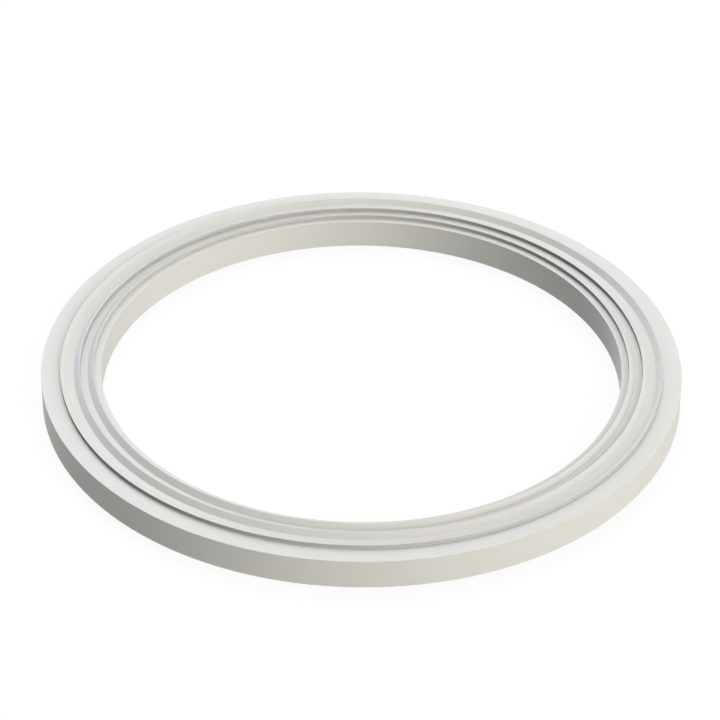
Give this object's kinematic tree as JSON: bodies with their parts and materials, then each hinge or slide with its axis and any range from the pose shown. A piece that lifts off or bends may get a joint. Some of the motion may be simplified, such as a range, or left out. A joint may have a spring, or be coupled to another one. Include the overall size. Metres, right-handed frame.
{
  "type": "ribbed gasket",
  "caption": "Flat ring gasket with a round bore, a plain outer rim and low saw-tooth sealing ribs round one face.",
  "frame": {"origin": "centre of the flat underside, on the axis of the bore", "axes": "+Z along the axis of the ring, from the flat underside towards the ribbed face; the ring is the same all round, so +X and +Y are any two directions across it"},
  "size_m": [0.119, 0.119, 0.0064],
  "materials": {
    "gasket": "off-white food-grade rubber, moulded smooth, matt to satin"
  },
  "bodies": {
    "root": {"gasket": "gasket"}
  },
  "joints": []
}
